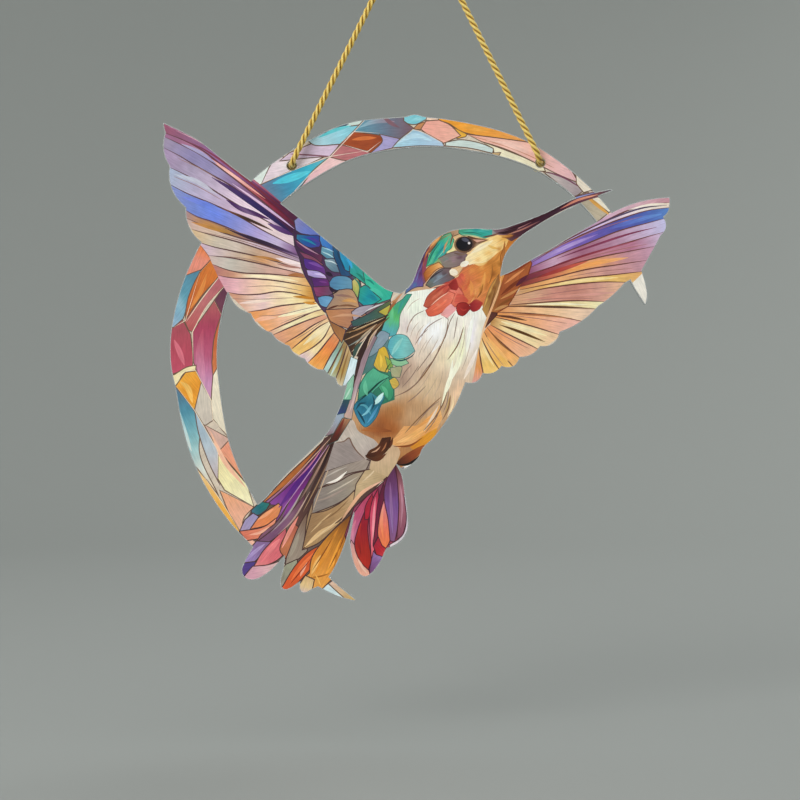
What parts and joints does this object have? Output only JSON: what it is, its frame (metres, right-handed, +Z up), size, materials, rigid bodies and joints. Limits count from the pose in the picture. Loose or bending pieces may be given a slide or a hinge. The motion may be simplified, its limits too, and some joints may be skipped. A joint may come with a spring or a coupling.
{
  "type": "acrylic suncatcher",
  "caption": "Flat laser-cut acrylic suncatcher: a hummingbird in flight before a crescent moon, printed in colour, hung on a twisted gold cord knotted behind its holes.",
  "frame": {"origin": "the hanging point: the underside of the cord at the top of its bend, where a hook or nail holds it", "axes": "+Z up, +X to the right of the viewer along the plate's width, -Y towards the viewer, out of the printed front face"},
  "size_m": [0.1998, 0.0194, 0.2648],
  "materials": {
    "printed_acrylic": "clear 3 mm acrylic sheet, polished cut edge, colour print over its front face",
    "gold_cord": "twisted gold cord with a soft sheen"
  },
  "bodies": {
    "root": {"suncatcher_panel": "printed_acrylic", "hanging_cord": "gold_cord", "cord_knot_left": "gold_cord", "cord_knot_right": "gold_cord"}
  },
  "joints": []
}
